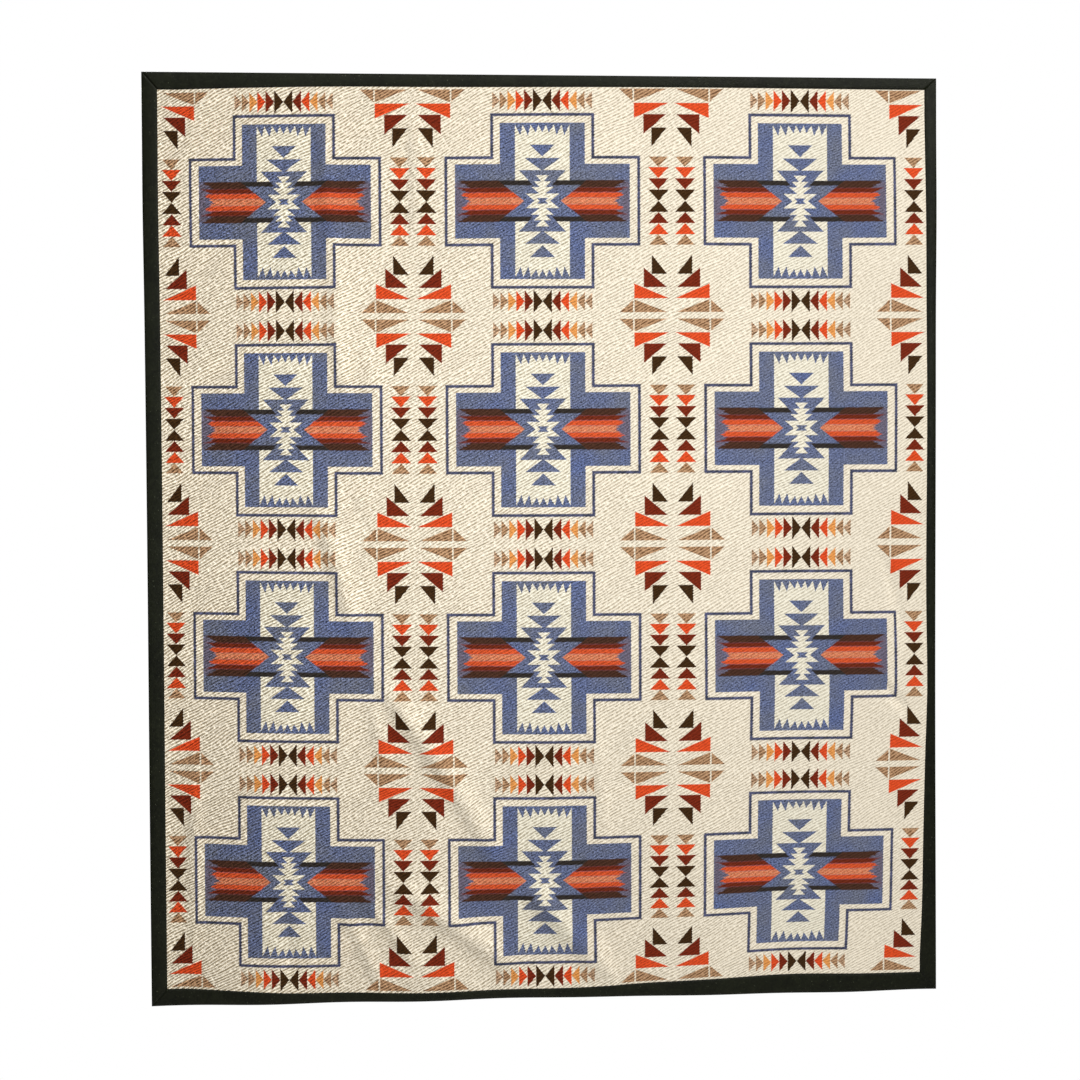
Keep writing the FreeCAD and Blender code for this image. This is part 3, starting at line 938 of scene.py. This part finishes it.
def stitch_mesh(name, places, ways, normals, length, thick, material):
    """Short runs of thread lying on the cloth: one small bead of thread per stitch."""
    along = np.linspace(-0.5, 0.5, RINGS)
    girth = np.sqrt(np.clip(1 - (2 * np.abs(along)) ** 2.5, 0.02, 1))
    turn = np.arange(THREAD_SIDES) / THREAD_SIDES * 2 * math.pi
    places, ways, normals = (np.asarray(v, float) for v in (places, ways, normals))
    across = np.cross(ways, normals)
    body = (
        places[:, None, None, :]
        + ways[:, None, None, :] * (along * length)[None, :, None, None]
        + across[:, None, None, :] * (np.outer(girth, np.cos(turn)) * thick / 2)[None, :, :, None]
        + normals[:, None, None, :] * (np.outer(girth, np.sin(turn)) * thick * 0.35)[None, :, :, None]
    )
    one = grid_faces(RINGS, THREAD_SIDES, wrap=True)
    per = RINGS * THREAD_SIDES
    firsts = np.arange(len(places)) * per
    faces = [tuple(face + first) for first in firsts for face in one]
    for first in firsts:
        faces.append(tuple(first + np.arange(THREAD_SIDES)))
        faces.append(tuple(first + per - 1 - np.arange(THREAD_SIDES)))
    return facing_out(add_object(name, body, faces, material))


def binding_seam(side, front):
    """Places along one side for the line of stitches just inside the binding's inner edge."""
    share = np.linspace(*SEAM_ENDS, int(side.length / STITCH_PITCH))
    if front:
        x, z = side.front(share, FRONT_SEAM)
        y = BINDING_FRONT - FRONT_LIFT - relief(x, z)
    else:
        x, z = side.back(share, BACK_SEAM)
        y = BINDING_BACK + BACK_LIFT - relief(x, z)
    places = np.stack([x, y, z], -1)
    ways = np.gradient(places, axis=0)
    ways /= np.linalg.norm(ways, axis=1, keepdims=True)
    normals = np.tile((0.0, -1.0 if front else 1.0, 0.0), (len(places), 1))
    return places, ways, normals


for front, name in ((True, "binding_stitches_front"), (False, "binding_stitches_back")):
    runs = [binding_seam(side, front) for side in SIDES]
    places, ways, normals = (np.concatenate([run[i] for run in runs]) for i in range(3))
    seam = stitch_mesh(name, places, ways, normals, 2.5 * MM, 0.45 * MM, black_thread)
    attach(seam, "quilt")

# -------- the hanging sleeve

RAIL_LOW, RAIL_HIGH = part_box("rail")
RAIL_Y = (RAIL_LOW[1] + RAIL_HIGH[1]) / 2
RAIL_Z = (RAIL_LOW[2] + RAIL_HIGH[2]) / 2
RAIL_RADIUS = (RAIL_HIGH[2] - RAIL_LOW[2]) / 2
SLEEVE_LOW, SLEEVE_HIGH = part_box("rod_sleeve")
SLEEVE_CLOTH = 0.8 * MM
SLEEVE_OFF_BACKING = 0.6 * MM                  # the gap from the backing to the middle of the sleeve's cloth
SLEEVE_OFF_RAIL = 0.75 * MM
SLEEVE_LEAVES = RAIL_Z + 4 * MM                # where the sleeve leaves the backing to go over the rail
SLEEVE_STATIONS = 130


def sleeve_outline(slack):
    """The tube's cross-section (y, z): up the quilt's back, over the rail, and slack down to the seam."""
    front_y = BACKING_Y + SLEEVE_OFF_BACKING
    wrap = RAIL_RADIUS + SLEEVE_OFF_RAIL
    path = [(front_y, z) for z in np.linspace(SLEEVE_LOW[2] + 1.5 * MM, SLEEVE_LEAVES, 12)]
    over_rail = [
        (RAIL_Y + wrap * math.cos(angle), RAIL_Z + wrap * math.sin(angle))
        for angle in np.linspace(math.radians(128), math.radians(-14), 14)
    ]
    meet_y, meet_z = over_rail[0]
    for t in (0.35, 0.7):
        path.append((front_y + (meet_y - front_y) * t**1.6, SLEEVE_LEAVES + (meet_z - SLEEVE_LEAVES) * t))
    path += over_rail
    last_y, last_z = over_rail[-1]
    seam_y, seam_z = front_y + 1.6 * MM, SLEEVE_LOW[2] + 1.0 * MM
    for t in np.linspace(0, 1, 14)[1:]:
        hang = math.sin(math.pi * t) * (2.2 * MM + slack)
        path.append((last_y + (seam_y - last_y) * t**1.25 + hang, last_z + (seam_z - last_z) * t))
    return np.array(path)


def rod_sleeve():
    """The sleeve's tube of cloth, open at both ends, and its girth."""
    rows = []
    for x in np.linspace(SLEEVE_LOW[0], SLEEVE_HIGH[0], SLEEVE_STATIONS):
        slack = MM * (1.3 * math.sin(23 * x + 0.6) + 0.9 * math.sin(51 * x + 2.0))
        outline = sleeve_outline(slack)
        rows.append(np.column_stack([np.full(len(outline), x), outline]))
    loop = np.array(rows)
    centre = loop[:, :, 1:].mean(axis=1, keepdims=True)
    step = np.roll(loop, -1, 1) - np.roll(loop, 1, 1)
    normal = np.stack([-step[..., 2], step[..., 1]], -1)
    normal /= np.linalg.norm(normal, axis=-1, keepdims=True)
    normal *= np.sign(((loop[..., 1:] - centre) * normal).sum(-1, keepdims=True).mean())
    outside, within = loop.copy(), loop.copy()
    outside[..., 1:] += normal * SLEEVE_CLOTH / 2
    within[..., 1:] -= normal * SLEEVE_CLOTH / 2
    stations, around = loop.shape[:2]
    count = stations * around
    quads = grid_faces(stations, around, wrap=True)
    faces = [tuple(f) for f in quads] + [tuple(f[::-1] + count) for f in quads]
    for row in (0, stations - 1):
        for i in range(around):
            here, beside = row * around + i, row * around + (i + 1) % around
            faces.append((here, beside, beside + count, here + count))
    points = np.concatenate([outside.reshape(-1, 3), within.reshape(-1, 3)])
    thing = facing_out(add_object("hanging_sleeve", points, faces, sleeve_cloth))
    girth = float(np.linalg.norm(np.diff(loop[0], axis=0, append=loop[0][:1]), axis=1).sum())
    return thing, girth


sleeve, sleeve_girth = rod_sleeve()
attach(sleeve, "quilt")
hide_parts("rod_sleeve")


def sleeve_seam():
    """Slanted hand stitches that hold the sleeve's lower edge, and its upper edge, to the backing."""
    places, ways, normals = [], [], []
    for level, lean in ((SLEEVE_LOW[2] - 0.2 * MM, 1), (RAIL_Z + 9.5 * MM, -1)):
        for x in np.arange(SLEEVE_LOW[0] + 4 * MM, SLEEVE_HIGH[0] - 3 * MM, 6.5 * MM):
            places.append((x, BACKING_Y + 0.35 * MM - float(relief(x, level)), level))
            way = np.array((0.55 * lean, 0.0, 1.0))
            ways.append(way / np.linalg.norm(way))
            normals.append((0.0, 1.0, 0.0))
    return stitch_mesh("sleeve_stitches", places, ways, normals, 3.6 * MM, 0.5 * MM, cream_thread)


seam = sleeve_seam()
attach(seam, "quilt")

# -------- the rack's own parts

rail_wood = wood("oiled_oak_rail", linear(196, 158, 112), linear(146, 104, 64))
board_wood = wood("oiled_oak_board", linear(190, 150, 104), linear(140, 98, 60), grain=(1.2, 30, 22))
steel = metal("black_powder_coat", linear(34, 34, 35), linear(48, 48, 49), 0.5, 0.0, 1400, 0.10)
zinc = metal("zinc_plated_steel", linear(176, 178, 180), linear(140, 143, 146), 0.34, 1.0, 700, 0.05)
brass = metal("brushed_brass", linear(206, 166, 92), linear(170, 130, 66), 0.30, 1.0, 500, 0.06, (1, 1, 5))
grey_felt = felt()

for material, names in (
    (rail_wood, ("rail", "rail_end_cap_left", "rail_end_cap_right")),
    (board_wood, ("wall_board",)),
    (steel, ("bracket_left", "bracket_right")),
    (grey_felt, ("cradle_liner_left", "cradle_liner_right")),
    (zinc, ("bracket_screws_left", "bracket_screws_right")),
    (brass, ("set_screw_left", "set_screw_right")),
):
    for name in names:
        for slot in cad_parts[name].material_slots:
            slot.material = material

# -------- floor, light and camera

FLOOR_RADIUS = 2.6
FLOOR_CENTRE_Y = -1.2
FLOOR_DROP = 0.85              # how far below the quilt the floor is
FLOOR_FADE = 0.7               # how much more solid it is for each metre in from its rim
SKY = 0.08                     # the white world's strength as a light
MIDDLE = (0.0, FACE_Y, (EDGE_TOP + EDGE_BOTTOM) / 2)
WARM, COOL = (1.0, 0.985, 0.97), (0.97, 0.985, 1.0)
CAMERA_PLACE = (-0.1692, -3.0819, -0.7834)
CAMERA_TURN = (-0.0521, -0.0182, 0.0060)       # yaw, pitch and roll
SENSOR = 36
LENS_TO_SENSOR = 1.445         # the focal length over the sensor's width


def stage_floor():
    """A round pale floor below the hanging quilt, which fades out softly towards its rim."""
    turns = np.linspace(0, 2 * math.pi, 96, endpoint=False)
    rim_x, rim_y = FLOOR_RADIUS * np.cos(turns), FLOOR_CENTRE_Y + FLOOR_RADIUS * np.sin(turns)
    rim = np.stack([rim_x, rim_y, np.full(len(turns), EDGE_BOTTOM - FLOOR_DROP)], -1)
    shader = Shader("pale_floor", roughness=0.9, specular=0.1)
    mottle = shader.noise(shader.object_place(), scale=2.0)
    shader.colour(shader.mix(mottle, linear(238, 238, 237), linear(244, 244, 243)))
    x, y, _ = shader.parts(shader.object_place())
    from_middle = calc("SQRT", x * x + (y - FLOOR_CENTRE_Y) * (y - FLOOR_CENTRE_Y))
    shader.link(clamped((FLOOR_RADIUS - from_middle) * FLOOR_FADE), shader.surface.inputs["Alpha"])
    thing = add_object("floor", rim, [range(len(turns))], shader.material, smooth_shading=False)


def area_light(name, place, aim, size, power, colour):
    data = bpy.data.lights.new(name, "AREA")
    data.shape, data.size, data.energy, data.color = "DISK", size, power, colour
    thing = bpy.data.objects.new(name, data)
    bpy.context.scene.collection.objects.link(thing)
    thing.location = place
    thing.rotation_euler = (Vector(aim) - Vector(place)).to_track_quat("-Z", "Y").to_euler()


def white_world():
    """White where the camera looks past the object, and a softer white as a light."""
    world = bpy.data.worlds.new("studio")
    world.use_nodes = True
    tree = world.node_tree
    background = next(n for n in tree.nodes if n.type == "BACKGROUND")
    background.inputs["Color"].default_value = (1, 1, 1, 1)
    path = tree.nodes.new("ShaderNodeLightPath")
    strength = Field(tree, path.outputs["Is Camera Ray"]) * (1.0 - SKY) + SKY
    tree.links.new(strength.socket, background.inputs["Strength"])
    bpy.context.scene.world = world


def aim_camera():
    """Nearly straight on from three metres, a little left of the middle and about level with it."""
    yaw, pitch, roll = CAMERA_TURN
    turn = Matrix.Rotation(yaw, 3, "Z") @ Matrix.Rotation(pitch, 3, "X") @ Matrix.Rotation(roll, 3, "Y")
    right, forward, up = turn.col[0], turn.col[1], turn.col[2]
    data = bpy.data.cameras.new("camera")
    data.sensor_width = SENSOR
    data.lens = SENSOR * LENS_TO_SENSOR
    data.clip_start, data.clip_end = 0.05, 50
    thing = bpy.data.objects.new("camera", data)
    bpy.context.scene.collection.objects.link(thing)
    look = Matrix((right, up, -forward)).transposed().to_4x4()
    thing.matrix_world = Matrix.Translation(CAMERA_PLACE) @ look
    bpy.context.scene.camera = thing


stage_floor()
white_world()
area_light("key", (3.3, -4.65, 4.8), MIDDLE, 1.3, 576, WARM)
area_light("fill", (-0.38, -1.56, -0.6), (-0.30, FACE_Y, -0.38), 1.0, 10, COOL)
area_light("back", (-1.6, 3.2, 0.9), MIDDLE, 1.6, 150, WARM)
aim_camera()
bpy.context.scene.view_settings.view_transform = "Standard"


def plain(box):
    return [[float(number) for number in point] for point in box]
